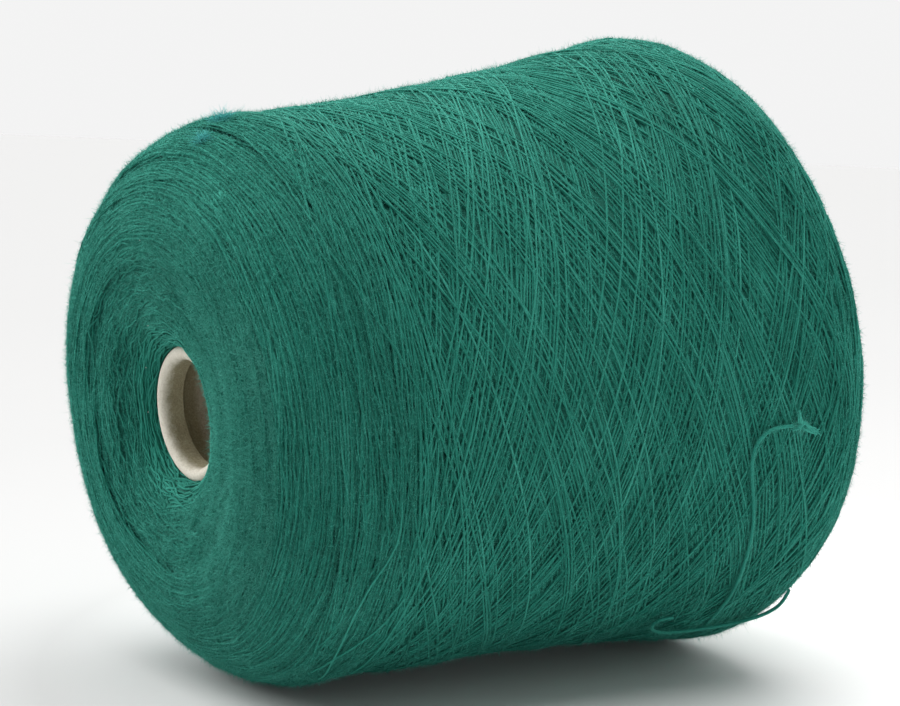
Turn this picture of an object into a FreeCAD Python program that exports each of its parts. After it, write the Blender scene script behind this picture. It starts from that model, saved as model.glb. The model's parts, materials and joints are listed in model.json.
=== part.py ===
"""Cone of yarn on a rolled-nose paper cone, lying on its side. Millimetres, +Z up, floor at Z = 0.

Every turned piece is drawn along its own axis: X runs from the nose to the base and the sketch's Y is the
radius. One placement then lays the axis down, so that the package rests on the floor on its two shoulders.
"""
import FreeCAD, Part
import math
import os

import Sketcher

Vector = FreeCAD.Vector

# Driving dimensions: alias, value in millimetres or degrees, what it is.
SIZES = [
    ("half_angle", 5.95, "half the taper of the paper cone"),
    ("cone_length", 170.0, "paper cone, nose to base"),
    ("cone_base_radius", 33.8, "paper cone, outer radius at the base"),
    ("board_thickness", 1.2, "wall of the paper cone"),
    ("roll_radius", 1.75, "outer radius of the rolled-in nose"),
    ("roll_depth", 5.8, "how far the rolled-in edge reaches into the bore"),
    ("nose_setback", 8.0, "paper nose, back from the package's foremost ring"),
    ("package_length", 152.0, "package, foremost ring to the end of the base shoulder"),
    ("crest_radius", 41.5, "radius of the foremost ring"),
    ("nose_shoulder_radius", 27.0, "rounding between nose face and side"),
    ("crease_radius", 9.5, "rounding of the nose face down to the paper cone"),
    ("crease_along", 12.2, "centre of that rounding, along the axis"),
    ("crease_out", 25.5, "centre of that rounding, out from the axis"),
    ("side_sweep_radius", 835.0, "hollow sweep of the side between the shoulders"),
    ("base_shoulder_radius", 12.0, "rounding between side and base face"),
    ("base_shoulder_out", 68.6, "centre of that rounding, out from the axis"),
    ("base_face_bore", 158.0, "where the base face meets the paper cone"),
    ("contact_depth", 0.7, "how far the soft shoulders flatten on the floor"),
    ("reserve_start", 165.0, "transfer tail turns, their nearer edge along the axis"),
    ("reserve_width", 3.6, "transfer tail turns, width of the band"),
    ("yarn_diameter", 0.9, "yarn under no tension"),
    ("knot_length", 4.4, "knot at the free end, along the yarn"),
    ("knot_width", 2.6, "knot at the free end, across the yarn"),
]

# The outer end of the yarn: out of the package low on the far shoulder, up the side, over to its knot.
RUNNING_END = [
    (44.7, -44.2, 13.0),
    (42.2, -52.1, 18.8),
    (40.1, -58.8, 25.3),
    (37.4, -64.8, 33.1),
    (35.0, -69.5, 41.4),
    (31.5, -73.0, 49.9),
    (28.2, -75.1, 57.1),
    (27.5, -76.3, 62.8),
    (29.9, -77.4, 66.8),
    (33.8, -78.2, 68.0),
    (37.1, -78.9, 68.1),
]

# A slack turn that has slipped off the lower base shoulder: a U-turn, then along and round the shoulder.
SLACK_LOOP = [
    (29.9, -47.9, 16.7),
    (26.6, -48.1, 16.8),
    (24.9, -46.2, 15.2),
    (27.3, -43.2, 12.9),
    (31.6, -41.0, 11.2),
    (36.6, -40.3, 10.6),
    (42.3, -41.7, 10.9),
    (48.5, -44.1, 11.8),
    (53.6, -46.8, 13.0),
    (58.3, -49.3, 14.6),
    (61.2, -51.5, 16.8),
    (62.1, -53.4, 19.4),
    (61.9, -54.9, 22.0),
]

START = 1
END = 2
CENTRE = 3


def make_sheet(document):
    """The spreadsheet of driving dimensions. Each alias names its cell."""
    sheet = document.addObject("Spreadsheet::Sheet", "Sizes")
    for row, (alias, value, meaning) in enumerate(SIZES, start=1):
        sheet.set(f"A{row}", meaning)
        sheet.set(f"B{row}", str(value))
        sheet.setAlias(f"B{row}", alias)
    document.recompute()
    return sheet


def point_at(centre, radius, angle):
    """The point of a circle at an angle in radians."""
    return Vector(centre.x + radius * math.cos(angle), centre.y + radius * math.sin(angle), 0)


def angle_of(vector):
    """The direction of a vector in radians, from 0 to a full turn."""
    return math.atan2(vector.y, vector.x) % (2 * math.pi)


def arc_between(centre, radius, start, end):
    """A circular arc drawn anticlockwise from one point to another."""
    circle = Part.Circle(centre, Vector(0, 0, 1), radius)
    first = angle_of(start - centre)
    last = angle_of(end - centre)
    if last < first:
        last += 2 * math.pi
    return Part.ArcOfCircle(circle, first, last)


def wall_radius(sheet, along):
    """Outer radius of the paper cone at a place along the axis."""
    base_along = sheet.nose_setback + sheet.cone_length
    return sheet.cone_base_radius - (base_along - along) * math.tan(math.radians(sheet.half_angle))


def new_sketch(body, name):
    """An empty sketch on the body's own XY plane."""
    plane = next(item for item in body.Origin.OriginFeatures if item.Role == "XY_Plane")
    sketch = body.newObject("Sketcher::SketchObject", name)
    sketch.AttachmentSupport = (plane, [""])
    sketch.MapMode = "FlatFace"
    return sketch


def join(sketch, kind, pairs):
    """Tie edge ends together: a list of (edge, end, edge, end), as Tangent or Coincident."""
    for first, first_end, second, second_end in pairs:
        sketch.addConstraint(Sketcher.Constraint(kind, first, first_end, second, second_end))


def bind(sketch, name, expression, constraint):
    """Add a named dimension and drive it from the sheet."""
    index = sketch.addConstraint(constraint)
    sketch.renameConstraint(index, name)
    sketch.setExpression(f"Constraints.{name}", expression)


def bind_point(sketch, name, edge, end, along, out):
    """Drive both coordinates of a point: along the axis, and out from it."""
    place = sketch.getPoint(edge, end)
    bind(sketch, f"{name}_along", along, Sketcher.Constraint("DistanceX", -1, 1, edge, end, place.x))
    bind(sketch, f"{name}_out", out, Sketcher.Constraint("DistanceY", -1, 1, edge, end, place.y))


def revolve(body, sketch, name):
    """Turn a sketch once round the axis that it is drawn along."""
    turned = body.newObject("PartDesign::Revolution", name)
    turned.Profile = sketch
    turned.ReferenceAxis = (sketch, ["H_Axis"])
    turned.Angle = 360.0
    body.Tip = turned
    return turned


def make_paper_cone(document, sheet):
    """Tapered board tube whose nose is rolled inwards, with the cut edge of the roll inside the bore."""
    body = document.addObject("PartDesign::Body", "paper_cone")
    sketch = new_sketch(body, "cone_section")
    slope = math.radians(sheet.half_angle)
    base_along = sheet.nose_setback + sheet.cone_length
    roll_along = sheet.nose_setback + sheet.roll_radius
    roll_out = wall_radius(sheet, roll_along) - sheet.roll_radius / math.cos(slope)
    roll_centre = Vector(roll_along, roll_out, 0)
    inner_radius = sheet.roll_radius - sheet.board_thickness
    wall_side = math.pi / 2 + slope
    bore_side = 3 * math.pi / 2
    edge_along = sheet.nose_setback + sheet.roll_depth

    outer_nose = point_at(roll_centre, sheet.roll_radius, wall_side)
    outer_base = Vector(base_along, sheet.cone_base_radius, 0)
    inner_base = Vector(base_along, sheet.cone_base_radius - sheet.board_thickness / math.cos(slope), 0)
    inner_nose = point_at(roll_centre, inner_radius, wall_side)
    curl_back = point_at(roll_centre, inner_radius, bore_side)
    edge_back = Vector(edge_along, curl_back.y, 0)
    land_nose = point_at(roll_centre, sheet.roll_radius, bore_side)
    edge_front = Vector(edge_along, land_nose.y, 0)

    wall = sketch.addGeometry(Part.LineSegment(outer_nose, outer_base))
    base = sketch.addGeometry(Part.LineSegment(outer_base, inner_base))
    lining = sketch.addGeometry(Part.LineSegment(inner_base, inner_nose))
    curl = sketch.addGeometry(arc_between(roll_centre, inner_radius, inner_nose, curl_back))
    back = sketch.addGeometry(Part.LineSegment(curl_back, edge_back))
    edge = sketch.addGeometry(Part.LineSegment(edge_back, edge_front))
    land = sketch.addGeometry(Part.LineSegment(edge_front, land_nose))
    roll = sketch.addGeometry(arc_between(roll_centre, sheet.roll_radius, outer_nose, land_nose))

    smooth = [(roll, START, wall, START), (roll, END, land, END)]
    smooth += [(curl, START, lining, END), (curl, END, back, START)]
    join(sketch, "Tangent", smooth)
    corners = [(wall, END, base, START), (base, END, lining, START)]
    corners += [(back, END, edge, START), (edge, END, land, START), (curl, CENTRE, roll, CENTRE)]
    join(sketch, "Coincident", corners)
    sketch.addConstraint(Sketcher.Constraint("Vertical", base))
    sketch.addConstraint(Sketcher.Constraint("Vertical", edge))
    sketch.addConstraint(Sketcher.Constraint("Horizontal", land))
    sketch.addConstraint(Sketcher.Constraint("Horizontal", back))
    sketch.addConstraint(Sketcher.Constraint("Parallel", wall, lining))
    bind(sketch, "taper", "Sizes.half_angle", Sketcher.Constraint("Angle", -1, wall, slope))
    bind_point(sketch, "base", base, START, "Sizes.nose_setback + Sizes.cone_length", "Sizes.cone_base_radius")
    bind(sketch, "roll", "Sizes.roll_radius", Sketcher.Constraint("Radius", roll, sheet.roll_radius))
    bind(
        sketch,
        "curl",
        "Sizes.roll_radius - Sizes.board_thickness",
        Sketcher.Constraint("Radius", curl, inner_radius),
    )
    bind(
        sketch,
        "nose",
        "Sizes.nose_setback + Sizes.roll_radius",
        Sketcher.Constraint("DistanceX", -1, 1, roll, CENTRE, roll_along),
    )
    bind(
        sketch,
        "edge",
        "Sizes.nose_setback + Sizes.roll_depth",
        Sketcher.Constraint("DistanceX", -1, 1, edge, START, edge_along),
    )
    revolve(body, sketch, "cone_turned")
    return body


def package_centres(sheet):
    """Centres of the arcs of the package's outline: nose shoulder, base shoulder, side and crease."""
    nose = Vector(sheet.nose_shoulder_radius, sheet.crest_radius, 0)
    base = Vector(sheet.package_length - sheet.base_shoulder_radius, sheet.base_shoulder_out, 0)
    crease = Vector(sheet.crease_along, sheet.crease_out, 0)
    between = base - nose
    to_nose = sheet.side_sweep_radius + sheet.nose_shoulder_radius
    to_base = sheet.side_sweep_radius + sheet.base_shoulder_radius
    along = (between.Length**2 + to_nose**2 - to_base**2) / (2 * between.Length)
    across = math.sqrt(to_nose**2 - along**2)
    unit = between / between.Length
    side = nose + unit * along + Vector(-unit.y, unit.x, 0) * across
    return nose, base, side, crease


def face_sweep_radius(sheet, crease):
    """Radius of the flat arc of the nose face that touches the crease rounding and stands foremost at the crest."""
    rise = sheet.crest_radius - crease.y
    return (crease.x**2 + rise**2 - sheet.crease_radius**2) / (2 * (crease.x - sheet.crease_radius))


def crease_foot(sheet, crease):
    """Where the crease rounding comes down onto the paper cone, on the nose side."""
    slope = math.tan(math.radians(sheet.half_angle))
    offset = wall_radius(sheet, crease.x) - crease.y
    whole = 1 + slope**2
    half = slope * offset
    step = (-half - math.sqrt(half**2 - whole * (offset**2 - sheet.crease_radius**2))) / whole
    return Vector(crease.x + step, wall_radius(sheet, crease.x + step), 0)


def draw_package(sketch, sheet):
    """The package's half section: bore, crease, nose face, two shoulders, hollow side and base face."""
    nose, base, side, crease = package_centres(sheet)
    face_radius = face_sweep_radius(sheet, crease)
    face = Vector(face_radius, sheet.crest_radius, 0)
    crest = Vector(0, sheet.crest_radius, 0)
    foot = crease_foot(sheet, crease)
    face_end = point_at(face, face_radius, angle_of(crease - face))
    side_nose = point_at(nose, sheet.nose_shoulder_radius, angle_of(side - nose))
    side_base = point_at(base, sheet.base_shoulder_radius, angle_of(side - base))
    heel = Vector(sheet.base_face_bore, wall_radius(sheet, sheet.base_face_bore), 0)
    to_heel = heel - base
    turn = math.acos(sheet.base_shoulder_radius / to_heel.Length)
    shoulder_end = point_at(base, sheet.base_shoulder_radius, angle_of(to_heel) + turn)

    bore = sketch.addGeometry(Part.LineSegment(foot, heel))
    fold = sketch.addGeometry(arc_between(crease, sheet.crease_radius, face_end, foot))
    front = sketch.addGeometry(arc_between(face, face_radius, crest, face_end))
    near = sketch.addGeometry(arc_between(nose, sheet.nose_shoulder_radius, side_nose, crest))
    flank = sketch.addGeometry(arc_between(side, sheet.side_sweep_radius, side_nose, side_base))
    far = sketch.addGeometry(arc_between(base, sheet.base_shoulder_radius, shoulder_end, side_base))
    back = sketch.addGeometry(Part.LineSegment(shoulder_end, heel))

    smooth = [(fold, START, front, END), (front, START, near, END), (near, START, flank, START)]
    smooth += [(flank, END, far, END), (far, START, back, START)]
    join(sketch, "Tangent", smooth)
    join(sketch, "Coincident", [(bore, START, fold, END), (bore, END, back, END)])
    bind(sketch, "taper", "Sizes.half_angle", Sketcher.Constraint("Angle", -1, bore, math.radians(sheet.half_angle)))
    heel_out = "Sizes.cone_base_radius - (Sizes.nose_setback + Sizes.cone_length - Sizes.base_face_bore)"
    heel_out += " * tan(Sizes.half_angle * 1 deg)"
    bind_point(sketch, "heel", bore, END, "Sizes.base_face_bore", heel_out)
    bind_point(sketch, "crease", fold, CENTRE, "Sizes.crease_along", "Sizes.crease_out")
    bind(sketch, "crease", "Sizes.crease_radius", Sketcher.Constraint("Radius", fold, sheet.crease_radius))
    bind(
        sketch,
        "front",
        "Sizes.crest_radius",
        Sketcher.Constraint("DistanceY", -1, 1, front, CENTRE, sheet.crest_radius),
    )
    bind(
        sketch,
        "crest",
        "Sizes.crest_radius",
        Sketcher.Constraint("DistanceY", -1, 1, near, CENTRE, sheet.crest_radius),
    )
    bind(
        sketch,
        "crest_along",
        "Sizes.nose_shoulder_radius",
        Sketcher.Constraint("DistanceX", -1, 1, near, CENTRE, sheet.nose_shoulder_radius),
    )
    bind(
        sketch,
        "near",
        "Sizes.nose_shoulder_radius",
        Sketcher.Constraint("Radius", near, sheet.nose_shoulder_radius),
    )
    bind(
        sketch,
        "flank",
        "Sizes.side_sweep_radius",
        Sketcher.Constraint("Radius", flank, sheet.side_sweep_radius),
    )
    bind(
        sketch,
        "far",
        "Sizes.base_shoulder_radius",
        Sketcher.Constraint("Radius", far, sheet.base_shoulder_radius),
    )
    bind_point(
        sketch,
        "shoulder",
        far,
        CENTRE,
        "Sizes.package_length - Sizes.base_shoulder_radius",
        "Sizes.base_shoulder_out",
    )


def lying_placement(sheet):
    """Lay the axis down until both shoulders press on the floor, with the whole centred along X."""
    nose, base, _, _ = package_centres(sheet)
    between = base - nose
    step = sheet.base_shoulder_radius - sheet.nose_shoulder_radius
    tilt = math.atan2(between.y, between.x) + math.asin(step / between.Length)
    lift = nose.y * math.cos(tilt) - nose.x * math.sin(tilt) + sheet.nose_shoulder_radius - sheet.contact_depth
    base_along = sheet.nose_setback + sheet.cone_length
    furthest = base_along * math.cos(tilt) + sheet.cone_base_radius * math.sin(tilt)
    foremost = nose.x * math.cos(tilt) - nose.y * math.sin(tilt) - sheet.nose_shoulder_radius
    turned = FreeCAD.Rotation(Vector(0, 1, 0), -math.degrees(tilt))
    return FreeCAD.Placement(Vector(-(furthest + foremost) / 2, 0, lift), turned)


def make_wound_package(document, sheet, lying):
    """Cross-wound yarn: a turned body with a tapered bore, flattened where it rests on the floor."""
    body = document.addObject("PartDesign::Body", "package_as_wound")
    sketch = new_sketch(body, "package_section")
    draw_package(sketch, sheet)
    revolve(body, sketch, "package_turned")
    body.Placement = lying

    floor = document.addObject("Part::Box", "floor_below")
    for side in ("Length", "Width", "Height"):
        floor.setExpression(side, "2 * Sizes.cone_length")
    reach = sheet.cone_length
    floor.Placement = FreeCAD.Placement(Vector(-reach, -reach, -2 * reach), FreeCAD.Rotation())

    package = document.addObject("Part::Cut", "wound_package")
    package.Base = body
    package.Tool = floor
    return package


def make_transfer_tail(document, sheet):
    """The reserve turns on the bare base end of the paper cone: a band one yarn deep, laid on the wall."""
    body = document.addObject("PartDesign::Body", "transfer_tail")
    sketch = new_sketch(body, "tail_section")
    start = sheet.reserve_start
    end = start + sheet.reserve_width
    under = [Vector(start, wall_radius(sheet, start), 0), Vector(end, wall_radius(sheet, end), 0)]
    over = [point + Vector(0, sheet.yarn_diameter, 0) for point in under]
    corners = [under[0], under[1], over[1], over[0]]
    count = len(corners)
    for index, corner in enumerate(corners):
        sketch.addGeometry(Part.LineSegment(corner, corners[(index + 1) % count]))
    bottom, far, top, near = range(count)
    join(sketch, "Coincident", [(index, END, (index + 1) % count, START) for index in range(count)])
    sketch.addConstraint(Sketcher.Constraint("Vertical", far))
    sketch.addConstraint(Sketcher.Constraint("Vertical", near))
    sketch.addConstraint(Sketcher.Constraint("Parallel", bottom, top))
    bind(sketch, "taper", "Sizes.half_angle", Sketcher.Constraint("Angle", -1, bottom, math.radians(sheet.half_angle)))
    start_out = "Sizes.cone_base_radius - (Sizes.nose_setback + Sizes.cone_length - Sizes.reserve_start)"
    start_out += " * tan(Sizes.half_angle * 1 deg)"
    bind_point(sketch, "start", bottom, START, "Sizes.reserve_start", start_out)
    bind(
        sketch,
        "width",
        "Sizes.reserve_width",
        Sketcher.Constraint("DistanceX", bottom, START, bottom, END, sheet.reserve_width),
    )
    bind(
        sketch,
        "depth",
        "Sizes.yarn_diameter",
        Sketcher.Constraint("DistanceY", bottom, START, top, END, sheet.yarn_diameter),
    )
    revolve(body, sketch, "tail_turned")
    return body


def route_wire(name, route):
    """Straight runs joined by tangent arcs, each as large as its two runs allow. Prints the radii."""
    points = [Vector(*point) for point in route]
    edges = []
    radii = []
    here = points[0]
    for before, corner, after in zip(points, points[1:], points[2:]):
        run_in = corner - before
        run_out = after - corner
        turn = run_in.getAngle(run_out)
        shorter = min(run_in.Length, run_out.Length)
        trim = 0.45 * shorter
        radii.append(trim / math.tan(turn / 2))
        arc_start = corner - run_in / run_in.Length * trim
        arc_end = corner + run_out / run_out.Length * trim
        to_middle = (arc_start + arc_end) / 2 - corner
        centre_distance = math.hypot(trim, radii[-1])
        arc_middle = corner + to_middle / to_middle.Length * (centre_distance - radii[-1])
        edges.append(Part.LineSegment(here, arc_start).toShape())
        edges.append(Part.Arc(arc_start, arc_middle, arc_end).toShape())
        here = arc_end
    edges.append(Part.LineSegment(here, points[-1]).toShape())
    wire = Part.Wire(edges)
    print(name, "length", round(wire.Length, 1), "radii", [round(radius, 1) for radius in radii])
    return wire


def make_yarn_end(document, sheet, name, route):
    """A loose stretch of yarn: a round tube along its route."""
    wire = route_wire(name, route)
    start = Vector(*route[0])
    direction = Vector(*route[1]) - start
    section = Part.Wire(Part.makeCircle(sheet.yarn_diameter / 2, start, direction))
    tube = wire.makePipeShell([section], True, False)
    expected = math.pi * (sheet.yarn_diameter / 2) ** 2 * wire.Length
    print(name, "volume over section times length", round(tube.Volume / expected, 4))
    yarn_end = document.addObject("Part::Feature", name)
    yarn_end.Shape = tube
    return yarn_end


def make_tail_knot(document, sheet):
    """The knot that ends the running end, centred half its length past the end of the yarn."""
    knot = document.addObject("Part::Ellipsoid", "tail_knot")
    knot.setExpression("Radius1", "Sizes.knot_length / 2")
    knot.setExpression("Radius2", "Sizes.knot_width / 2")
    knot.setExpression("Radius3", "Sizes.knot_width / 2")
    last = Vector(*RUNNING_END[-1])
    direction = (last - Vector(*RUNNING_END[-2])).normalize()
    turned = FreeCAD.Rotation(Vector(0, 0, 1), direction)
    knot.Placement = FreeCAD.Placement(last + direction * sheet.knot_length / 2, turned)
    return knot


def check_and_export(document, pieces):
    """Stop on any failed object or bad shape, then write one STEP file for each piece."""
    document.recompute()
    for item in document.Objects:
        if "Invalid" in item.State or "Error" in item.State:
            raise RuntimeError(f"{item.Label} failed: {item.State}")
    os.makedirs("parts", exist_ok=True)
    for piece in pieces:
        shape = piece.Shape
        if shape.isNull() or not shape.isValid() or len(shape.Solids) != 1:
            raise RuntimeError(f"{piece.Label} has no single valid solid")
        box = shape.optimalBoundingBox(False, False)
        low = [round(value, 2) for value in (box.XMin, box.YMin, box.ZMin)]
        high = [round(value, 2) for value in (box.XMax, box.YMax, box.ZMax)]
        print(piece.Label, "volume", round(shape.Volume, 1), "from", low, "to", high)
        shape.exportStep(f"parts/{piece.Label}.step")


def main():
    document = FreeCAD.newDocument("yarn_cone")
    sheet = make_sheet(document)
    lying = lying_placement(sheet)
    cone = make_paper_cone(document, sheet)
    cone.Placement = lying
    package = make_wound_package(document, sheet, lying)
    reserve = make_transfer_tail(document, sheet)
    reserve.Placement = lying
    running_end = make_yarn_end(document, sheet, "running_end", RUNNING_END)
    slack_loop = make_yarn_end(document, sheet, "slack_loop", SLACK_LOOP)
    knot = make_tail_knot(document, sheet)
    print("laid down by", lying.Rotation.Angle, "moved", lying.Base)
    check_and_export(document, [cone, package, reserve, running_end, slack_loop, knot])


main()
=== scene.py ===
"""A cone of green woollen yarn, cross wound on a paper cone with a rolled nose, lying on its side."""

import itertools
import json
import math

import bpy
import numpy as np
from mathutils import Matrix, Vector

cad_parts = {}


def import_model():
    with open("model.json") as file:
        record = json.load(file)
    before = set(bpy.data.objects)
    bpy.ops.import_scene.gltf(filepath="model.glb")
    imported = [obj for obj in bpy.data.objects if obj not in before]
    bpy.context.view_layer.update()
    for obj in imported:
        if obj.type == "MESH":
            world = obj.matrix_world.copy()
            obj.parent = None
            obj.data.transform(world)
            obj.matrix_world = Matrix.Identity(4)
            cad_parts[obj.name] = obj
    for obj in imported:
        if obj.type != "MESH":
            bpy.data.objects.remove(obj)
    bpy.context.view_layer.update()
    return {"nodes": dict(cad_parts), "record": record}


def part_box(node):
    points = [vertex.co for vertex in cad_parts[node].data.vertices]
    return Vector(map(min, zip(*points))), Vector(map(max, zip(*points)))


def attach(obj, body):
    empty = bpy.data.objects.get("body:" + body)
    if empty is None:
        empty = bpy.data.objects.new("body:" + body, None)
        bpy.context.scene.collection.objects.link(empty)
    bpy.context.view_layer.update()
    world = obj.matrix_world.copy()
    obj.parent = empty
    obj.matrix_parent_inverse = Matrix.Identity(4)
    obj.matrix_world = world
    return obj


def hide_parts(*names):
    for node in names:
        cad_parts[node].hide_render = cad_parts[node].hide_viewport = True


MM = 0.001
SEED = 614

# The cone's axis runs from nose to base: "along" is measured on it from the nose face, "out" is the radius.
HALF_ANGLE = math.radians(5.95)
CONE_END = 178.0
CONE_END_RADIUS = 33.8
CREASE_CENTRE = np.array([12.2, 25.5])
CREASE_RADIUS = 9.5
NOSE_SHOULDER_CENTRE = np.array([27.0, 41.5])
NOSE_SHOULDER_RADIUS = 27.0
SIDE_SWEEP_RADIUS = 835.0
BASE_SHOULDER_CENTRE = np.array([140.0, 68.6])
BASE_SHOULDER_RADIUS = 12.0
BASE_FACE_BORE = 158.0
NOSE_RIM = 8.0

# Yarn as wound, under tension, and as it hangs free.
WOUND_WIDTH = 0.53
WOUND_HEIGHT = 0.44
LAYER_STEP = 0.23
FREE_YARN = 0.9

# About the most triangles in one piece of turns, and in one piece of fibres.
TURN_TRIANGLES = 170000
FIBRE_TRIANGLES = 180000

# The outer free end of the yarn, in millimetres, from where it leaves the turns to its knot.
RUNNING_END = [
    (44.7, -44.2, 13.0),
    (42.2, -52.1, 18.8),
    (40.1, -58.8, 25.3),
    (37.4, -64.8, 33.1),
    (35.0, -69.5, 41.4),
    (31.5, -73.0, 49.9),
    (28.2, -75.1, 57.1),
    (27.5, -76.3, 62.8),
    (29.9, -77.4, 66.8),
    (33.8, -78.2, 68.0),
    (37.1, -78.9, 68.1),
]

# A slack turn that has slipped off the lower base shoulder.
SLACK_LOOP = [
    (29.9, -47.9, 16.7),
    (26.6, -48.1, 16.8),
    (24.9, -46.2, 15.2),
    (27.3, -43.2, 12.9),
    (31.6, -41.0, 11.2),
    (36.6, -40.3, 10.6),
    (42.3, -41.7, 10.9),
    (48.5, -44.1, 11.8),
    (53.6, -46.8, 13.0),
    (58.3, -49.3, 14.6),
    (61.2, -51.5, 16.8),
    (62.1, -53.4, 19.4),
    (61.9, -54.9, 22.0),
]


# ---------------------------------------------------------------- outline of the package


def unit(vectors):
    """The same vectors, each one long."""
    return vectors / np.linalg.norm(vectors, axis=-1, keepdims=True)


def smoothed(values, width, pad):
    """Running mean over width samples, with the end values carried on by pad samples."""
    return np.convolve(np.pad(values, pad, mode="edge"), np.ones(width) / width, mode="same")[pad:-pad]


def arc_points(centre, radius, start, end, hollow=False):
    """Points every 0.1 mm on an arc, with the normals that point out of the yarn."""
    count = max(3, int(abs(end - start) * radius / 0.1))
    angles = np.linspace(start, end, count)
    spokes = np.stack([np.cos(angles), np.sin(angles)], -1)
    return centre + radius * spokes, -spokes if hollow else spokes


def angle_of(vector):
    """Direction of a plane vector, from 0 up to a full turn."""
    return math.atan2(vector[1], vector[0]) % (2 * math.pi)


def wall_radius(along):
    """Outer radius of the paper cone."""
    return CONE_END_RADIUS - (CONE_END - along) * math.tan(HALF_ANGLE)


def circle_meets(centre_a, radius_a, centre_b, radius_b):
    """The meeting point of two circles that lies on the outer side of the line from a to b."""
    gap = centre_b - centre_a
    apart = np.linalg.norm(gap)
    along = (apart**2 + radius_a**2 - radius_b**2) / (2 * apart)
    unit = gap / apart
    return centre_a + unit * along + np.array([-unit[1], unit[0]]) * math.sqrt(radius_a**2 - along**2)


def crease_foot():
    """Where the crease reaches the paper cone's wall at the nose."""
    wall = np.array([math.cos(HALF_ANGLE), math.sin(HALF_ANGLE)])
    normal = np.array([-wall[1], wall[0]])
    away = (CREASE_CENTRE - np.array([CONE_END, CONE_END_RADIUS])) @ normal
    return CREASE_CENTRE - away * normal - wall * math.sqrt(CREASE_RADIUS**2 - away**2)


def build_outline():
    """The package's outline from crease to base bore: length along it, place and normal, and its corners."""
    crest = NOSE_SHOULDER_CENTRE[1]
    face_radius = (
        CREASE_CENTRE[0] ** 2 + (CREASE_CENTRE[1] - crest) ** 2 - CREASE_RADIUS**2
    ) / (2 * (CREASE_CENTRE[0] - CREASE_RADIUS))
    face_centre = np.array([face_radius, crest])
    side_centre = circle_meets(
        NOSE_SHOULDER_CENTRE,
        SIDE_SWEEP_RADIUS + NOSE_SHOULDER_RADIUS,
        BASE_SHOULDER_CENTRE,
        SIDE_SWEEP_RADIUS + BASE_SHOULDER_RADIUS,
    )
    face_start = angle_of(CREASE_CENTRE - face_centre)
    nose_side = angle_of(side_centre - NOSE_SHOULDER_CENTRE)
    base_side = angle_of(side_centre - BASE_SHOULDER_CENTRE)
    bore = np.array([BASE_FACE_BORE, wall_radius(BASE_FACE_BORE)])
    to_bore = bore - BASE_SHOULDER_CENTRE
    lead = math.acos(BASE_SHOULDER_RADIUS / np.linalg.norm(to_bore))
    base_tangent = math.atan2(to_bore[1], to_bore[0]) + lead
    spans = [
        arc_points(CREASE_CENTRE, CREASE_RADIUS, angle_of(crease_foot() - CREASE_CENTRE), face_start),
        arc_points(face_centre, face_radius, face_start, math.pi),
        arc_points(NOSE_SHOULDER_CENTRE, NOSE_SHOULDER_RADIUS, math.pi, nose_side),
        arc_points(side_centre, SIDE_SWEEP_RADIUS, nose_side + math.pi, base_side + math.pi, hollow=True),
        arc_points(BASE_SHOULDER_CENTRE, BASE_SHOULDER_RADIUS, base_side, base_tangent),
    ]
    last = spans[-1][0][-1]
    steps = np.linspace(0, 1, 400)[:, None]
    face_normal = np.array([math.cos(base_tangent), math.sin(base_tangent)])
    spans.append((last + steps * (bore - last), np.repeat(face_normal[None], 400, 0)))
    place = np.concatenate([points[1:] for points, _ in spans])
    normal = np.concatenate([normals[1:] for _, normals in spans])
    length = np.concatenate([[0], np.cumsum(np.linalg.norm(np.diff(place, axis=0), axis=1))])
    ends = np.cumsum([len(points) - 1 for points, _ in spans]) - 1
    names = ["crease", "face", "shoulder", "side", "base_shoulder", "base_face"]
    return {"length": length, "place": place, "normal": normal, "ends": dict(zip(names, length[ends]))}


OUTLINE = build_outline()
ENDS = OUTLINE["ends"]
TOTAL = OUTLINE["length"][-1]


def outline_at(s):
    """Place and normal on the outline at the length s, as four arrays."""
    columns = [*OUTLINE["place"].T, *OUTLINE["normal"].T]
    return [np.interp(s, OUTLINE["length"], column) for column in columns]


class Axis:
    """The cone's own axis in the model frame, read from the record's mount on the base rim."""

    def __init__(self, record):
        rim = next(mount for mount in record["mounts"] if mount["name"] == "base_rim")
        self.along = np.array(rim["axis"])
        self.along /= np.linalg.norm(self.along)
        self.start = np.array(rim["pos_m"]) / MM - self.along * CONE_END
        self.up = np.array([-self.along[2], 0.0, self.along[0]])
        self.side = np.array([0.0, 1.0, 0.0])

    def points(self, along, out, turn):
        """Points in millimetres; turn is 0 straight up and grows towards +Y."""
        spoke = np.cos(turn)[..., None] * self.up + np.sin(turn)[..., None] * self.side
        return self.start + np.asarray(along)[..., None] * self.along + np.asarray(out)[..., None] * spoke

    def directions(self, along, out, turn):
        """Directions with the given parts along the axis and out from it."""
        spoke = np.cos(turn)[..., None] * self.up + np.sin(turn)[..., None] * self.side
        return np.asarray(along)[..., None] * self.along + np.asarray(out)[..., None] * spoke

    def on_package(self, s, turn, height):
        """Points and normals at a height over the outline."""
        along, out, normal_along, normal_out = outline_at(s)
        points = self.points(along + height * normal_along, out + height * normal_out, turn)
        return points, self.directions(normal_along, normal_out, turn)


# ---------------------------------------------------------------- winding


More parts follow.
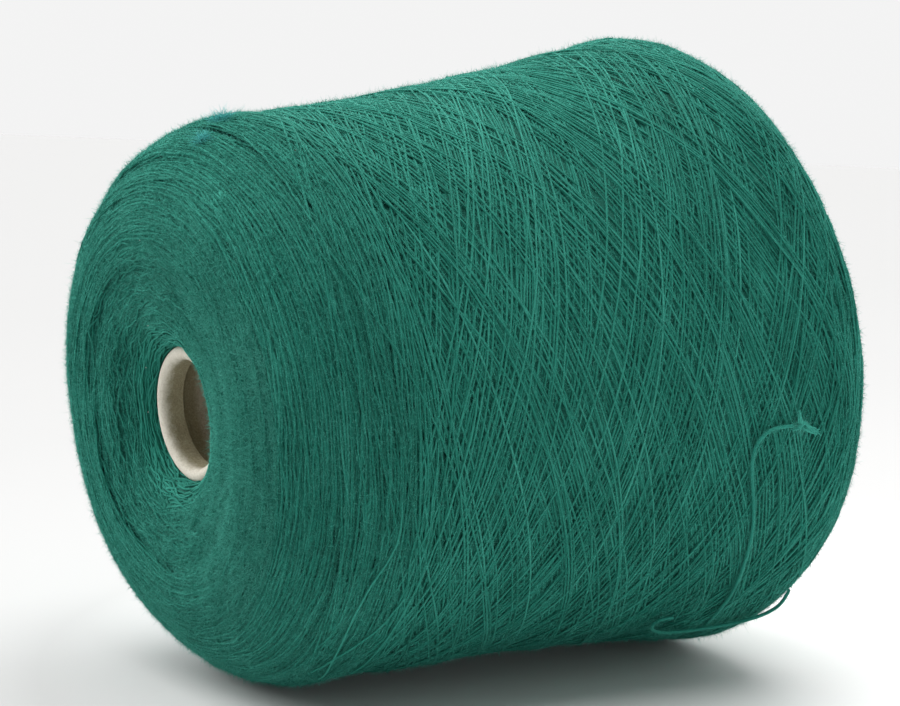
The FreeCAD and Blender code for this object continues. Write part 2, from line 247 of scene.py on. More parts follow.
class Winding:
    """Lays yarn on a grid of heights over the outline, each turn resting on the turns below it."""

    CELL = 0.3
    TURNS = 1400

    def __init__(self, rng):
        self.rng = rng
        count = int(TOTAL / self.CELL) + 2
        self.s = np.arange(count) * self.CELL
        self.turn = np.linspace(0, 2 * math.pi, self.TURNS, endpoint=False)
        self.bed = self.first_surface()
        self.height = self.bed.copy()

    def first_surface(self):
        """The bed under the outer turns.

        It has gentle waves, a slump and a hollow at the near base shoulder, a lower crown and underside, and
        a deeper crease on the far side of the tube.
        """
        s = self.s[:, None]
        turn = self.turn[None, :]
        bed = np.full((len(self.s), self.TURNS), -1.75)
        for _ in range(12):
            lobes = self.rng.integers(0, 6)
            wave = self.rng.uniform(35, 140)
            phase = self.rng.uniform(0, 2 * math.pi)
            bed += 0.09 * np.cos(lobes * turn + 2 * math.pi * s / wave + phase)
        slump = (1.5, -104, 28, 8, 12)
        hollow = (-1.1, -54, 24, 6, 24)
        for rise, middle, spread, past_side, reach in (slump, hollow):
            around = wrap(turn - math.radians(middle)) / math.radians(spread)
            bed += rise * np.exp(-(around**2) - ((s - ENDS["side"] - past_side) / reach) ** 2)
        crown = smoothstep(1 - np.abs(wrap(turn)) / math.radians(75))
        bed -= 0.8 * crown * smoothstep((s - ENDS["face"]) / 20)
        underside = smoothstep((np.abs(wrap(turn)) - math.radians(128)) / math.radians(40))
        bed -= 1.7 * underside * smoothstep((s - ENDS["crease"]) / 30) * smoothstep((ENDS["side"] - s) / 20)
        far_crease = smoothstep(1 - np.abs(wrap(turn - math.radians(85))) / math.radians(95))
        bed -= 4.8 * far_crease * smoothstep((19 - s) / 13)
        return bed

    def settle(self):
        """How far to lower the turns at each length along the outline, so that the outermost lie on it."""
        return smoothed(self.height.mean(axis=1) + 0.55, 41, 20)

    def cells(self, s, turn):
        rows = np.clip(np.rint(s / self.CELL).astype(int), 2, len(self.s) - 3)
        columns = np.rint(turn / (2 * math.pi) * self.TURNS).astype(int) % self.TURNS
        return rows, columns

    def top(self, s, turn):
        rows, columns = self.cells(s, turn)
        return self.height[rows, columns]

    def slide(self, s, turn, window, reach=3):
        """The same path, moved sideways into the furrows between the turns already there."""
        rows, columns = self.cells(s, turn)
        steps = np.arange(-reach, reach + 1)
        level = []
        for step in steps:
            beside = self.height[np.clip(rows + step, 1, len(self.s) - 2), columns]
            level.append(smoothed(beside, window, window))
        level = np.array(level)
        pull = np.exp(-(level - level.min(axis=0)) / 0.07 - (steps[:, None] / (reach + 1.0)) ** 2)
        shift = (pull * steps[:, None]).sum(axis=0) / pull.sum(axis=0) * self.CELL
        return np.clip(s + smoothed(shift, window, window), 0.3, TOTAL - 0.3)

    def lay(self, s, turn, window, press=0.16, sink=0.0):
        """Heights of the yarn's centre along a path; the yarn bridges gaps shorter than the window."""
        rows, columns = self.cells(s, turn)
        ground = np.max([self.height[rows + step, columns] for step in (-1, 0, 1)], axis=0)
        rest = ground.copy()
        for _ in range(4):
            rest = np.maximum(smoothed(rest, window, window), ground - press)
        rest = smoothed(rest, 7, window) - sink
        for step, share in ((-1, 0.7), (0, 1.0), (1, 0.7)):
            np.maximum.at(self.height, (rows + step, columns), rest + LAYER_STEP * share)
        return rest + LAYER_STEP / 2


def wrap(angle):
    """An angle brought between half a turn back and half a turn on."""
    return (angle + math.pi) % (2 * math.pi) - math.pi


def smoothstep(x):
    x = np.clip(x, 0, 1)
    return x * x * (3 - 2 * x)


def evenly(number):
    """Share across an end and turn about the axis for one of many turns, spread without clumps."""
    return (number * 0.7548776662) % 1, (number * 0.5698402910) % 1 * 2 * math.pi


def traverse_shape(nose_share, base_share):
    """Share of the way from nose to base against share of the turn, slow at both reversals."""
    t = np.linspace(0, 1, 801)
    speed = smoothstep(t / nose_share) * smoothstep((1 - t) / base_share)
    way = np.concatenate([[0], np.cumsum((speed[1:] + speed[:-1]) / 2)])
    return t, way / way[-1]


def wobble(rng, count, size, shortest, longest):
    """A gentle random wander over count samples."""
    x = np.arange(count)
    total = np.zeros(count)
    for _ in range(3):
        total += np.sin(2 * math.pi * x / rng.uniform(shortest, longest) + rng.uniform(0, 2 * math.pi))
    return total * size / 3


def rotations(rng, count):
    """Turns of the cone for each double traverse.

    They stay near a simple fraction for a while, so that the yarn lies in ribbons.
    """
    fractions = [(-1, 3), (-1, 4), (1, 5), (-2, 5), (1, 3), (2, 7), (-2, 7), (1, 4)]
    turns = []
    while len(turns) < count:
        top, bottom = fractions[rng.integers(len(fractions))]
        creep = rng.uniform(0.8, 2.4) / (bottom * 2 * math.pi * 75)
        for _ in range(bottom * rng.integers(2, 6)):
            turns.append(2 + top / bottom + creep + rng.normal(0, 0.0006))
    return turns[:count]


DOUBLE_TRAVERSES = 360
TURN_STEP = 2 * math.pi / Winding.TURNS


def double_traverse(winding, start, base_from, nose, base_to, turns, shape_in, shape_out):
    """One pass from base to nose and back as lengths along the outline and turns."""
    count = int(turns * 2 * math.pi / TURN_STEP)
    t = np.linspace(0, 2, count)
    going = t <= 1
    way = np.where(going, np.interp(1 - t, *shape_in), np.interp(t - 1, *shape_out))
    base = np.where(going, base_from, base_to)
    s = nose + (base - nose) * way
    s += wobble(winding.rng, count, 0.22, 160, 520) * smoothstep(np.minimum(t, 2 - t) * 8)
    return s, start + np.arange(count) * TURN_STEP


def end_turn(winding, centre, middle, length, bend, out_sink, wander=0.45):
    """A short turn at an end of the package, nearly round it, whose two ends dive under others."""
    radius = outline_at(centre)[1]
    half = length / radius / 2
    count = max(12, int(2 * half / TURN_STEP))
    x = np.linspace(-1, 1, count)
    shortest = 5 / radius / TURN_STEP
    slant = winding.rng.normal(0, 0.03) * length / 2
    s = centre + slant * x + bend * x * x + wobble(winding.rng, count, wander, shortest, 4 * shortest)
    s = np.clip(s, 0.3, TOTAL - 0.3)
    turn = middle + half * x
    sink = out_sink * smoothstep((np.abs(x) - 0.45) / 0.55)
    window = max(5, int(3.0 / radius / TURN_STEP)) | 1
    s = winding.slide(s, turn, 2 * window + 1)
    height = winding.lay(s, turn, window, press=0.2, sink=sink)
    return s, turn, height


def thin_out(s, turn, height, spacing):
    """The same path with a point about every spacing millimetres."""
    radius = np.interp(s, OUTLINE["length"], OUTLINE["place"][:, 1])
    step = np.hypot(np.diff(s), np.diff(turn) * (radius[1:] + radius[:-1]) / 2)
    length = np.concatenate([[0], np.cumsum(step)])
    marks = np.linspace(0, length[-1], max(3, int(length[-1] / spacing) + 1))
    return [np.interp(marks, length, column) for column in (s, turn, height)]


def wind_package(rng):
    """The outer turns in the order they were wound: paths on the sides, and on the two ends."""
    winding = Winding(rng)
    sides, nose_end, base_end = [], [], []
    start, base_from = 0.0, ENDS["side"] + 6
    spread = itertools.count(1)
    drift = itertools.count(0.0, 0.37)
    for turns in rotations(rng, DOUBLE_TRAVERSES):
        for _ in range(rng.poisson(10.5)):
            across, middle = evenly(next(spread))
            place = rng.uniform(0, 1)
            if place < 0.5:
                centre = 0.4 + across * (ENDS["face"] + 5.6)
                length = rng.uniform(7, 24)
                path = end_turn(winding, centre, middle, length, rng.normal(0.5, 0.7), 0.6, 1.05)
            else:
                centre = ENDS["face"] - 4 + across * (ENDS["shoulder"] - ENDS["face"] + 9)
                length = rng.uniform(45, 150)
                path = end_turn(winding, centre, middle, length, rng.uniform(0.2, 1.6), 0.3, 0.2)
            nose_end.append(thin_out(*path, 2.0 if place < 0.5 else 3.6))
        for _ in range(rng.poisson(3.4)):
            across, middle = evenly(next(spread))
            centre = ENDS["side"] - 1 + across * (TOTAL - ENDS["side"] + 0.5)
            length = rng.uniform(18, 70)
            path = end_turn(winding, centre, middle, length, -rng.uniform(0, 1.5), 0.4)
            base_end.append(thin_out(*path, 3.0))
        nose = ENDS["shoulder"] - 6 + 9 * math.sin(next(drift)) + rng.normal(0, 2.5)
        base_to = ENDS["side"] + 7 + 4 * math.sin(next(drift) * 1.7) + rng.normal(0, 1.5)
        shapes = [traverse_shape(rng.uniform(0.34, 0.42), rng.uniform(0.07, 0.10)) for _ in range(2)]
        s, turn = double_traverse(winding, start, base_from, nose, base_to, turns, *shapes)
        s = winding.slide(s, turn, 41, reach=2)
        height = winding.lay(s, turn, 17)
        sides.append(thin_out(s, turn, height, 3.4))
        start = (turn[-1] + TURN_STEP) % (2 * math.pi)
        base_from = base_to
    drop = winding.settle()
    winding.height -= drop[:, None]
    winding.bed -= drop[:, None]
    for path in sides + nose_end + base_end:
        path[2] -= np.interp(path[0], winding.s, drop)
    return winding, *[showing(winding, paths) for paths in (sides, nose_end, base_end)]


def showing(winding, paths, depth=0.9):
    """The stretches of the paths that lie near the surface, with a little more at each end."""
    runs = []
    for s, turn, level in paths:
        near = winding.top(s, turn) - level < depth
        near = np.convolve(near, np.ones(5), mode="same") > 0
        edges = np.flatnonzero(np.diff(np.concatenate([[False], near, [False]]).astype(int)))
        for first, last in edges.reshape(-1, 2):
            if last - first > 3:
                runs.append([s[first:last], turn[first:last], level[first:last]])
    return runs


# ---------------------------------------------------------------- meshes


def new_mesh(name, corners, faces, smooth=True):
    """A mesh from an array of corners and a list of faces."""
    mesh = bpy.data.meshes.new(name)
    mesh.from_pydata(np.asarray(corners).tolist(), [], [list(face) for face in faces])
    if smooth:
        mesh.shade_smooth()
    return mesh


def add_object(name, mesh, material):
    """A piece that rides on the body and takes the yarn's colour slot."""
    piece = bpy.data.objects.new(name, mesh)
    bpy.context.scene.collection.objects.link(piece)
    mesh.materials.append(material)
    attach(piece, "root")
    return piece


def strand_mesh(name, strands, sides, tints, floor=0.02):
    """Closed tubes along many lines, each given as centres, normals, half widths and half heights."""
    angles = np.arange(sides) * 2 * math.pi / sides
    corners, loops, starts, totals, uv, yarn_uv, tint = [], [], [], [], [], [], []
    first, loop_count = 0, 0
    for number, (centres, normals, half_width, half_height) in enumerate(strands):
        count = len(centres)
        tangents = unit(np.gradient(centres, axis=0))
        across = unit(np.cross(tangents, normals))
        lift = np.cross(across, tangents)
        ring = (
            centres[:, None]
            + across[:, None] * (half_width[:, None] * np.cos(angles))[..., None]
            + lift[:, None] * (half_height[:, None] * np.sin(angles))[..., None]
        )
        corners.append(ring.reshape(-1, 3))
        length = np.concatenate([[0], np.cumsum(np.linalg.norm(np.diff(centres, axis=0), axis=1))])
        i, j = np.meshgrid(np.arange(count - 1), np.arange(sides), indexing="ij")
        after = (j + 1) % sides
        ring_start = first + i * sides
        next_start = ring_start + sides
        quads = np.stack([ring_start + j, ring_start + after, next_start + after, next_start + j], -1)
        caps = first + np.stack([np.arange(sides)[::-1], (count - 1) * sides + np.arange(sides)])
        loops += [quads.ravel(), caps.ravel()]
        starts.append(loop_count + 4 * np.arange(quads.size // 4))
        starts.append(loop_count + quads.size + sides * np.arange(2))
        low = (number + 0.1) / len(strands)
        high = (number + 0.9) / len(strands)
        ends = np.stack([i, i, i + 1, i + 1], -1)
        u = ends / (count - 1)
        v = np.stack([j, j + 1, j + 1, j], -1) / sides
        along = length[ends]
        cap_u = np.repeat([0.0, 1.0], sides)
        cap_v = np.tile(np.arange(sides) / sides, 2)
        uv.append(np.stack([u.ravel(), low + (high - low) * v.ravel()], -1))
        uv.append(np.stack([cap_u, low + (high - low) * cap_v], -1))
        yarn_uv.append(np.stack([along.ravel(), v.ravel()], -1))
        yarn_uv.append(np.stack([cap_u * length[-1], cap_v], -1))
        tint.append(np.full(count * sides, tints[number]))
        first += count * sides
        loop_count += quads.size + 2 * sides
    corners = np.concatenate(corners)
    corners[:, 2] = np.maximum(corners[:, 2], floor)
    mesh = bpy.data.meshes.new(name)
    mesh.vertices.add(len(corners))
    mesh.vertices.foreach_set("co", (corners * MM).ravel())
    mesh.loops.add(loop_count)
    mesh.loops.foreach_set("vertex_index", np.concatenate(loops).astype(np.int32))
    starts = np.concatenate(starts).astype(np.int32)
    mesh.polygons.add(len(starts))
    mesh.polygons.foreach_set("loop_start", starts)
    mesh.update(calc_edges=True)
    mesh.uv_layers.new(name="OFBake").data.foreach_set("uv", np.concatenate(uv).ravel())
    mesh.uv_layers.new(name="Yarn").data.foreach_set("uv", np.concatenate(yarn_uv).ravel())
    mesh.attributes.new("tint", "FLOAT", "POINT").data.foreach_set("value", np.concatenate(tint))
    mesh.shade_smooth()
    return mesh


def package_strand(axis, path, rng, width=WOUND_WIDTH, height=WOUND_HEIGHT):
    """A wound strand's centres, normals and half sizes, a little uneven as spun yarn is."""
    s, turn, level = path
    centres, normals = axis.on_package(s, turn, level)
    uneven = 1 + wobble(rng, len(s), 0.16, 3, 14)
    return centres, normals, uneven * width / 2, uneven * height / 2


def in_batches(items, count):
    """The items shared out evenly over count batches."""
    return [items[index::count] for index in range(count)]


def add_strands(name, axis, paths, rng, material, sides=5):
    """The paths as strands, in as many pieces as keep each one small."""
    triangles = 2 * sides * sum(len(path[0]) for path in paths)
    for number, batch in enumerate(in_batches(paths, math.ceil(triangles / TURN_TRIANGLES)), 1):
        strands = [package_strand(axis, path, rng) for path in batch]
        tints = rng.normal(0, 1, len(strands))
        mesh = strand_mesh(f"{name}_{number}", strands, sides, tints)
        piece = add_object(f"{name}_{number}", mesh, material)
        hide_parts("wound_package")


def add_core(axis, winding, material):
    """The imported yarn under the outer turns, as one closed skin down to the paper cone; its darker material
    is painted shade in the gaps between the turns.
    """
    rows = np.arange(0, len(winding.s) - 2, 4)
    columns = np.arange(0, Winding.TURNS, 7)
    bed = winding.height[np.ix_(rows, columns)] * 0.5 + winding.bed[np.ix_(rows, columns)] * 0.5
    s = np.repeat(winding.s[rows][:, None], len(columns), 1)
    turn = np.repeat(winding.turn[columns][None], len(rows), 0)
    points, _ = axis.on_package(s, turn, bed)
    inner_along = np.array([BASE_FACE_BORE - 2.5, 14.0])
    inner_out = np.array([wall_radius(along) + 0.05 for along in inner_along])
    inner = axis.points(
        np.repeat(inner_along[:, None], len(columns), 1),
        np.repeat(inner_out[:, None], len(columns), 1),
        turn[:2],
    )
    points = np.concatenate([points, inner])
    points[..., 2] = np.maximum(points[..., 2], 0.05)
    count = len(points)
    wide = len(columns)
    faces = []
    for row in range(count):
        here = row * wide
        there = (row + 1) % count * wide
        for column in range(wide):
            beside = (column + 1) % wide
            faces.append((here + column, here + beside, there + beside, there + column))
    mesh = new_mesh("wound_core", points.reshape(-1, 3) * MM, faces)
    piece = add_object("wound_core", mesh, material)
    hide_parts("wound_package")


def add_fuzz(name, roots, normals, runs, rng, material, reach, thickness=0.055, nap=False, short=False):
    """Loose fibres as tiny spikes, which curl away from the yarn, lie along it as a nap, or stand short."""
    count = len(roots)
    across = np.cross(runs, normals)
    lean = rng.normal(0, 1, (count, 3))
    if nap:
        direction = runs * np.sign(lean[:, :1]) + across * (lean[:, 1:2] * 0.35) + normals * 0.22
        curl = across * (lean[:, 2:] * 0.5) - normals * 0.42
    else:
        rise = 0.35 + 1.1 * rng.random((count, 1)) ** 1.5
        direction = runs * (lean[:, :1] * 0.9) + across * (lean[:, 1:2] * 0.9) + normals * rise
        curl = rng.normal(0, 1, (count, 3)) * 0.75 - normals * 0.15
    direction = unit(direction)
    length = rng.uniform(0.35, 1.0, (count, 1)) * reach
    rings = 1 if short else 2
    marks = np.linspace(0, 1, rings + 1)
    line = roots[:, None] + length[:, None] * (
        direction[:, None] * marks[None, :, None] + curl[:, None] * (marks**2)[None, :, None] * 0.5
    )
    tangent = unit(np.gradient(line, axis=1))
    side = unit(np.cross(tangent, np.roll(direction, 1, axis=1)[:, None] + 0.01))
    other = np.cross(side, tangent)
    angles = np.arange(3) * 2 * math.pi / 3
    radius = thickness / 2 * np.linspace(1.0, 0.8, rings)
    sleeve = line[:, :rings, None] + radius[None, :, None, None] * (
        side[:, :rings, None] * np.cos(angles)[:, None] + other[:, :rings, None] * np.sin(angles)[:, None]
    )
    corners = np.concatenate([sleeve.reshape(count, 3 * rings, 3), line[:, rings:]], axis=1)
    corners[..., 2] = np.maximum(corners[..., 2], 0.03)
    tip = 3 * rings
    pattern = [(0, 2, 1)]
    for corner in range(3):
        after = (corner + 1) % 3
        pattern.append((tip - 3 + corner, tip - 3 + after, tip))
        if not short:
            pattern.append((corner, after, 3 + after))
            pattern.append((corner, 3 + after, 3 + corner))
    pattern = np.array(pattern)
    batches = math.ceil(count * len(pattern) / FIBRE_TRIANGLES)
    for number, chosen in enumerate(in_batches(np.arange(count), batches), 1):
        faces = (pattern[None] + (tip + 1) * np.arange(len(chosen))[:, None, None]).reshape(-1, 3)
        mesh = bpy.data.meshes.new(f"{name}_{number}")
        mesh.vertices.add((tip + 1) * len(chosen))
        mesh.vertices.foreach_set("co", (corners[chosen] * MM).ravel())
        mesh.loops.add(faces.size)
        mesh.loops.foreach_set("vertex_index", faces.ravel().astype(np.int32))
        mesh.polygons.add(len(faces))
        mesh.polygons.foreach_set("loop_start", (3 * np.arange(len(faces))).astype(np.int32))
        mesh.update(calc_edges=True)
        mesh.shade_smooth()
        add_object(f"{name}_{number}", mesh, material)


# ---------------------------------------------------------------- materials

# Level directions in the camera's view: to the right, and away from it to the room behind the object.
TO_THE_RIGHT = (0.822, -0.569, 0.0)
BEHIND = (0.569, 0.822, 0.0)


def new_material(name):
    material = bpy.data.materials.new(name)
    material.use_nodes = True
    nodes = material.node_tree.nodes
    nodes.clear()
    shader = nodes.new("ShaderNodeBsdfPrincipled")
    output = nodes.new("ShaderNodeOutputMaterial")
    material.node_tree.links.new(shader.outputs["BSDF"], output.inputs["Surface"])
    return material, shader


def node(material, kind, settings=None, **sockets):
    """A new node with its settings and its socket values; a socket given another node's output is linked."""
    made = material.node_tree.nodes.new(kind)
    for key, value in (settings or {}).items():
        setattr(made, key, value)
    for key, value in sockets.items():
        socket = made.inputs[int(key[1:]) if key[0] == "_" else key.replace("_", " ")]
        if isinstance(value, bpy.types.NodeSocket):
            material.node_tree.links.new(value, socket)
        else:
            socket.default_value = value
    return made


def maths(material, operation, *values):
    """The output of a Math node."""
    sockets = {f"_{number}": value for number, value in enumerate(values)}
    return node(material, "ShaderNodeMath", {"operation": operation}, **sockets).outputs[0]


def measured_along(material, place, direction):
    """How far a place lies in one direction."""
    made = node(material, "ShaderNodeVectorMath", {"operation": "DOT_PRODUCT"}, _0=place, _1=direction)
    return made.outputs["Value"]


def fade(material, value, low, high, start=0.0, end=1.0):
    """A number that goes from start to end as the value goes from low to high."""
    limits = {"From_Min": low, "From_Max": high, "To_Min": start, "To_Max": end}
    return node(material, "ShaderNodeMapRange", Value=value, **limits).outputs["Result"]


def mixed(material, factor, first, second):
    """Two colours mixed by a factor."""
    made = node(material, "ShaderNodeMix", {"data_type": "RGBA"}, Factor=factor, _6=first, _7=second)
    return made.outputs[2]


def ramp(material, factor, stops):
    """A colour ramp's colour output; stops are (position, colour)."""
    made = node(material, "ShaderNodeValToRGB", Fac=factor)
    elements = made.color_ramp.elements
    while len(elements) < len(stops):
        elements.new(0.5)
    for element, (position, colour) in zip(elements, stops):
        element.position = position
        element.color = (*colour, 1)
    return made.outputs["Color"]


def noise(material, coordinates, scale, detail=3.0, roughness=0.6):
    sockets = {"Scale": scale, "Detail": detail, "Roughness": roughness}
    return node(material, "ShaderNodeTexNoise", Vector=coordinates, **sockets).outputs["Fac"]


def wool_material(name, deep, mid, light, twist=True, sheen=0.6):
    """Dyed woollen yarn: uneven dye, darker and lighter strands, the twist of the ply and a soft nap."""
    material, shader = new_material(name)
    links = material.node_tree.links
    place = node(material, "ShaderNodeTexCoord").outputs["Object"]
    patches = noise(material, place, 55.0, 4.0)
    flecks = noise(material, place, 1400.0, 2.0)
    tint = node(material, "ShaderNodeAttribute", {"attribute_name": "tint"}).outputs["Fac"]
    shade = maths(material, "MULTIPLY_ADD", tint, 0.10, 0.10)
    shade = maths(material, "MULTIPLY_ADD", patches, 0.45, shade)
    shade = maths(material, "MULTIPLY_ADD", flecks, 0.40, shade)
    colour = ramp(material, shade, [(0.15, deep), (0.52, mid), (0.95, light)])
    links.new(colour, shader.inputs["Base Color"])
    rough = maths(material, "MULTIPLY_ADD", flecks, 0.25, 0.70)
    links.new(rough, shader.inputs["Roughness"])
    shader.inputs["Specular IOR Level"].default_value = 0.25
    shader.inputs["Sheen Weight"].default_value = sheen
    shader.inputs["Sheen Roughness"].default_value = 0.45
    shader.inputs["Sheen Tint"].default_value = (*light, 1)
    relief = noise(material, place, 3500.0, 2.0)
    if twist:
        yarn = node(material, "ShaderNodeUVMap", {"uv_map": "Yarn"}).outputs["UV"]
        parts = node(material, "ShaderNodeSeparateXYZ", Vector=yarn).outputs
        lay = maths(material, "MULTIPLY_ADD", parts[0], 6.2, maths(material, "MULTIPLY", parts[1], 12.566))
        relief = maths(material, "MULTIPLY_ADD", maths(material, "SINE", lay), 0.5, relief)
    bump = node(material, "ShaderNodeBump", Strength=0.5, Distance=0.00008, Height=relief)
    links.new(bump.outputs["Normal"], shader.inputs["Normal"])
    return material


def board_material(axis):
    """Grey-brown cone board: fibre flecks, a pale painted highlight on the rolled lip at the nose, and
    painted shade on the rolled band just inside the lip, darker and more olive than the rest of the board.
    """
    material, shader = new_material("cone_board")
    links = material.node_tree.links
    place = node(material, "ShaderNodeTexCoord").outputs["Object"]
    along = measured_along(material, place, tuple(axis.along))
    nose = float(axis.start @ axis.along + NOSE_RIM) * MM
    from_nose = maths(material, "SUBTRACT", along, nose)
    # The lip's pale colour is a painted highlight where the rolled lip catches the light; noise makes its
    # edge ragged.
    ragged_noise = noise(material, place, 420.0, 5.0, 0.7)
    edge = maths(material, "MULTIPLY_ADD", ragged_noise, 0.004, from_nose)
    highlight_mask = fade(material, edge, 0.0022, 0.0048, 1.0, 0.0)
    clouds = noise(material, place, 160.0, 5.0, 0.65)
    fibres = noise(material, place, 1900.0, 3.0, 0.75)
    shade = maths(material, "MULTIPLY_ADD", clouds, 0.35, maths(material, "MULTIPLY", fibres, 0.55))
    # body is the rolled band just inside the mouth, coloured darker and more olive as painted shade; pale is
    # the painted highlight on the lip; bare is the board's own colour.
    body = [(0.28, (0.22, 0.185, 0.11)), (0.46, (0.35, 0.31, 0.20)), (0.62, (0.48, 0.44, 0.31))]
    pale = [(0.25, (0.52, 0.475, 0.39)), (0.45, (0.70, 0.655, 0.56)), (0.65, (0.80, 0.765, 0.68))]
    bare = [(0.28, (0.33, 0.285, 0.21)), (0.46, (0.50, 0.44, 0.34)), (0.62, (0.62, 0.56, 0.45))]
    body, pale, bare = [ramp(material, shade, stops) for stops in (body, pale, bare)]
    past_roll = fade(material, from_nose, 0.010, 0.012)
    # Past the roll, the painted shade gives way to the board's own colour.
    wall = mixed(material, past_roll, body, bare)
    links.new(mixed(material, highlight_mask, wall, pale), shader.inputs["Base Color"])
    links.new(maths(material, "MULTIPLY_ADD", clouds, 0.2, 0.72), shader.inputs["Roughness"])
    shader.inputs["Specular IOR Level"].default_value = 0.3
    bump = node(material, "ShaderNodeBump", Strength=0.6, Distance=0.00025, Height=fibres)
    links.new(bump.outputs["Normal"], shader.inputs["Normal"])
    return material


def floor_material():
    """Matt white paper, with painted light: a little brighter near the object, against the shade it casts,
    and brighter on the right.
    """
    material, shader = new_material("studio_floor")
    place = node(material, "ShaderNodeTexCoord").outputs["Object"]
    away = node(material, "ShaderNodeVectorMath", {"operation": "LENGTH"}, _0=place).outputs["Value"]
    spread = maths(material, "DIVIDE", away, maths(material, "ADD", away, 1.0))
    # Painted light: the floor is made brighter towards the right.
    aside = measured_along(material, place, TO_THE_RIGHT)
    aside = maths(material, "ARCTANGENT", maths(material, "MULTIPLY", aside, 5.0))
    aside = maths(material, "MULTIPLY", aside, 0.15)
    nearness = maths(material, "SUBTRACT", 1.0, spread)
    shade = maths(material, "SUBTRACT", spread, maths(material, "MULTIPLY", aside, nearness))
    # The pale stops near the object are a painted pool of light laid against the object's shadow.
    stops = [(0.06, 0.86), (0.10, 0.78), (0.16, 0.52), (0.35, 0.482), (0.55, 0.464), (0.8, 0.459)]
    colour = ramp(material, shade, [(position, (grey, grey, grey)) for position, grey in stops])
    material.node_tree.links.new(colour, shader.inputs["Base Color"])
    shader.inputs["Roughness"].default_value = 1.0
    shader.inputs["Specular IOR Level"].default_value = 0.0
    return material


# ---------------------------------------------------------------- cords


def route_curve(name, route, diameter, material):
    """A smooth cord on the route's points, in millimetres."""
    curve = bpy.data.curves.new(name, "CURVE")
    curve.dimensions = "3D"
    spline = curve.splines.new("NURBS")
    spline.points.add(len(route) - 1)
    for point, place in zip(spline.points, route):
        point.co = (*(Vector(place) * MM), 1)
    spline.order_u = 3
    spline.use_endpoint_u = True
    spline.resolution_u = 12
    curve.bevel_depth = diameter * MM / 2
    curve.bevel_resolution = 3
    curve.use_fill_caps = True
    piece = bpy.data.objects.new(name, curve)
    bpy.context.scene.collection.objects.link(piece)
    if material is not None:
        curve.materials.append(material)
        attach(piece, "root")
    return piece


def route_line(route):
    """Points along the same smooth line, in millimetres."""
    piece = route_curve("line", route, 0.0, None)
    mesh = bpy.data.meshes.new_from_object(piece)
    points = np.array([vertex.co[:] for vertex in mesh.vertices]) / MM
    bpy.data.meshes.remove(mesh)
    curve = piece.data
    bpy.data.objects.remove(piece)
    bpy.data.curves.remove(curve)
    return points


# ---------------------------------------------------------------- studio


def direction_to(azimuth, elevation):
    """Direction towards a place seen at an azimuth and an elevation, in degrees; azimuth 0 is -Y."""
    azimuth = math.radians(azimuth)
    elevation = math.radians(elevation)
    level = math.cos(elevation)
    return Vector((math.sin(azimuth) * level, -math.cos(azimuth) * level, math.sin(elevation)))


def add_camera():
    """A low view from the nose end, with a long lens."""
    distance = 538.39
    roll = math.radians(2.17)
    target = Vector((-6.33, 0.0, 77.92))
    back = direction_to(-34.693, 6.0)
    level = (-back).cross(Vector((0, 0, 1))).normalized()
    upright = level.cross(-back)
    right = math.cos(roll) * level + math.sin(roll) * upright
    up = math.cos(roll) * upright - math.sin(roll) * level
    data = bpy.data.cameras.new("camera")
    data.sensor_fit = "HORIZONTAL"
    data.sensor_width = 36.0
    data.lens = 85.67
    data.clip_start = 0.01
    data.clip_end = 50.0
    camera = bpy.data.objects.new("camera", data)
    turned = Matrix((right, up, back)).transposed().to_4x4()
    camera.matrix_world = Matrix.Translation((target + back * distance) * MM) @ turned
    bpy.context.scene.collection.objects.link(camera)
    bpy.context.scene.camera = camera


def add_sun(name, strength, width, elevation, azimuth, colour):
    data = bpy.data.lights.new(name, "SUN")
    data.energy = strength
    data.angle = math.radians(width)
    data.color = colour
    light = bpy.data.objects.new(name, data)
    light.rotation_euler = direction_to(azimuth, elevation).to_track_quat("Z", "Y").to_euler()
    bpy.context.scene.collection.objects.link(light)


def add_studio():
    """A pale floor with no edge in view, broad lights, and a white room that is dimmer high in front."""
    world = bpy.data.worlds.new("studio")
    bpy.context.scene.world = world
    world.use_nodes = True
    background = world.node_tree.nodes["Background"]
    heading = node(world, "ShaderNodeTexCoord").outputs["Generated"]
    rearward = measured_along(world, heading, BEHIND)
    height = node(world, "ShaderNodeSeparateXYZ", Vector=heading).outputs["Z"]
    forward = fade(world, rearward, 0.5, -0.6)
    above = fade(world, height, 0.10, 0.32, 0.0, 0.68)
    brightness = maths(world, "SUBTRACT", 0.90, maths(world, "MULTIPLY", forward, above))
    world.node_tree.links.new(brightness, background.inputs["Color"])
    background.inputs["Strength"].default_value = 1.0
    add_sun("overhead_light", 3.0, 70, 82, 180, (1.0, 0.995, 0.985))
    add_sun("window_light", 1.6, 40, 30, -140, (1.0, 1.0, 1.0))
    add_sun("rim_light", 1.0, 50, 26, 128, (1.0, 1.0, 1.0))
    sides = 96
    reach = 12
    corners = []
    for index in range(sides):
        angle = 2 * math.pi * index / sides
        corners.append((reach * math.cos(angle), reach * math.sin(angle), 0.0))
    floor = bpy.data.objects.new("floor", new_mesh("floor", corners, [range(sides)], smooth=False))
    bpy.context.scene.collection.objects.link(floor)
    floor.data.materials.append(floor_material())
    bpy.context.scene.view_settings.view_transform = "Standard"


# ---------------------------------------------------------------- the object


def fibre_roots(axis, winding, rng, count, low, high, middle=None):
    """Random places on the wound surface, with the normal and the yarn's running direction there."""
    s = rng.uniform(low, high, 4 * count)
    radius = outline_at(s)[1]
    s = s[rng.random(4 * count) < radius / 82][:count]
    if middle is None:
        turn = rng.uniform(0, 2 * math.pi, len(s))
    else:
        turn = math.radians(middle) + rng.normal(0, 0.75, len(s))
    roots, normals = axis.on_package(s, turn, winding.top(s, turn) + 0.04)
    around = unit(np.cross(np.broadcast_to(axis.along, normals.shape), normals))
    tilt = rng.normal(0, 0.3, (len(s), 1))
    return roots, normals, unit(around + np.cross(normals, around) * tilt)


